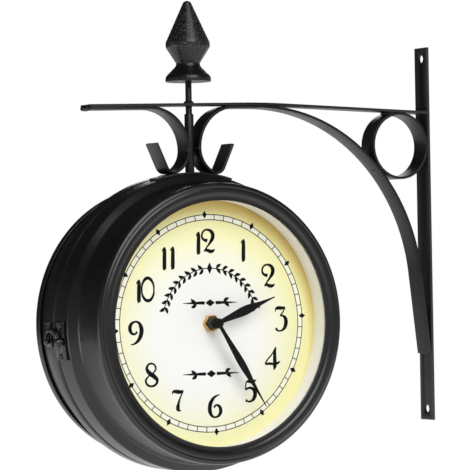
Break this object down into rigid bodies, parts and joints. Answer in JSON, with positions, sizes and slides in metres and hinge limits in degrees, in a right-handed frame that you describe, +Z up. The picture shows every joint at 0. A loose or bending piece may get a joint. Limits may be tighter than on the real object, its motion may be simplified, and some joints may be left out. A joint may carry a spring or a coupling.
{
  "type": "double sided wall clock",
  "caption": "Round double sided station clock that hangs from a flat-strap scroll bracket with a ring, a brace and a turned finial; its rear half swings open on a hinge.",
  "frame": {"origin": "midway between the two wall screw holes, on the wall bar's back face", "axes": "+X into the wall, +Y from the front face to the rear face, +Z up"},
  "size_m": [0.3206, 0.0982, 0.3398],
  "materials": {
    "bracket_powder_coat": "satin black powder coat on mild steel strap",
    "hammered_paint": "dark grey hammered paint on turned metal",
    "case_powder_coat": "satin black powder coat on pressed steel sheet",
    "painted_hardware": "satin black paint, worn at the edges",
    "zinc_steel": "zinc plated screws and nuts",
    "bezel_enamel": "gloss black enamel on spun steel",
    "window_glass": "clear flat glass",
    "seal_rubber": "matt black rubber",
    "rim_paint": "cream white paint",
    "dial_enamel": "cream white dial with black numerals",
    "movement_plastic": "moulded black plastic",
    "turned_brass": "turned brass",
    "hand_paint": "matt black paint on stamped sheet",
    "gear_plastic": "moulded acetal",
    "cell_label": "plain grey cell jacket",
    "nickel_strip": "nickel plated spring strip",
    "board_laminate": "green circuit board"
  },
  "bodies": {
    "bracket": {"wall_bar": "bracket_powder_coat", "arm_bar": "bracket_powder_coat", "bracket_ring": "bracket_powder_coat", "left_scroll": "bracket_powder_coat", "brace_scroll": "bracket_powder_coat", "weld_beads": "bracket_powder_coat", "foot_saddle": "bracket_powder_coat", "foot_screws": "zinc_steel", "hanger_rod": "bracket_powder_coat", "stem_sleeve": "bracket_powder_coat", "finial": "hammered_paint", "rod_nuts": "zinc_steel", "front_case": "case_powder_coat", "front_case_screws": "zinc_steel", "hinge_front_leaf": "painted_hardware", "hinge_pin": "painted_hardware", "latch_plate": "painted_hardware", "front_bezel": "bezel_enamel", "front_glass": "window_glass", "front_glass_seal": "seal_rubber", "front_rim": "rim_paint", "front_dial": "dial_enamel", "front_movement_case": "movement_plastic", "front_movement_cover": "movement_plastic", "front_dial_washer": "seal_rubber", "front_fixing_nut": "turned_brass", "front_battery": "cell_label", "front_battery_contacts": "nickel_strip", "front_circuit_board": "board_laminate"},
    "latch_hook": {"latch_hook": "painted_hardware"},
    "front_minute": {"front_minute_arbor": "turned_brass", "front_set_knob": "movement_plastic", "front_minute_hand": "hand_paint", "front_hand_nut": "hand_paint"},
    "front_hour": {"front_hour_wheel": "gear_plastic", "front_hour_hand": "hand_paint"},
    "front_reverser": {"front_reversing_wheel": "gear_plastic"},
    "rear_minute": {"rear_minute_arbor": "turned_brass", "rear_set_knob": "movement_plastic", "rear_minute_hand": "hand_paint", "rear_hand_nut": "hand_paint"},
    "rear_hour": {"rear_hour_wheel": "gear_plastic", "rear_hour_hand": "hand_paint"},
    "rear_reverser": {"rear_reversing_wheel": "gear_plastic"},
    "rear_door": {"rear_case": "case_powder_coat", "rear_case_screws": "zinc_steel", "hinge_rear_leaf": "painted_hardware", "latch_stud": "painted_hardware", "rear_bezel": "bezel_enamel", "rear_glass": "window_glass", "rear_glass_seal": "seal_rubber", "rear_rim": "rim_paint", "rear_dial": "dial_enamel", "rear_movement_case": "movement_plastic", "rear_movement_cover": "movement_plastic", "rear_dial_washer": "seal_rubber", "rear_fixing_nut": "turned_brass", "rear_battery": "cell_label", "rear_battery_contacts": "nickel_strip", "rear_circuit_board": "board_laminate"}
  },
  "joints": [
    {"name": "rear_door_hinge", "type": "hinge", "parent": "bracket", "child": "rear_door", "pos_m": [-0.0979, 0.009, -0.0625], "axis": [0, 0, -1], "range_deg": [0, 95]},
    {"name": "latch_hook_turn", "type": "hinge", "parent": "bracket", "child": "latch_hook", "pos_m": [-0.31389, -0.003, -0.07294], "axis": [0.9952, 0, 0.0976], "range_deg": [0, 100]},
    {"name": "front_minute_turn", "type": "hinge", "parent": "bracket", "child": "front_minute", "pos_m": [-0.2074, -0.0442, -0.0625], "axis": [0, 1, 0], "continuous": true},
    {"name": "front_hour_turn", "type": "hinge", "parent": "bracket", "child": "front_hour", "pos_m": [-0.2074, -0.0442, -0.0625], "axis": [0, 1, 0], "continuous": true},
    {"name": "front_reverser_turn", "type": "hinge", "parent": "bracket", "child": "front_reverser", "pos_m": [-0.19741, -0.0442, -0.06205], "axis": [0, 1, 0], "continuous": true},
    {"name": "rear_minute_turn", "type": "hinge", "parent": "rear_door", "child": "rear_minute", "pos_m": [-0.2074, 0.054, -0.0625], "axis": [0, -1, 0], "continuous": true},
    {"name": "rear_hour_turn", "type": "hinge", "parent": "rear_door", "child": "rear_hour", "pos_m": [-0.2074, 0.054, -0.0625], "axis": [0, -1, 0], "continuous": true},
    {"name": "rear_reverser_turn", "type": "hinge", "parent": "rear_door", "child": "rear_reverser", "pos_m": [-0.21739, 0.054, -0.06295], "axis": [0, -1, 0], "continuous": true}
  ],
  "couplings": [
    {"joint": "front_hour_turn", "follows": "front_minute_turn", "ratio": 0.083333},
    {"joint": "front_reverser_turn", "follows": "front_minute_turn", "ratio": -0.33333},
    {"joint": "rear_hour_turn", "follows": "rear_minute_turn", "ratio": 0.083333},
    {"joint": "rear_reverser_turn", "follows": "rear_minute_turn", "ratio": -0.33333}
  ]
}
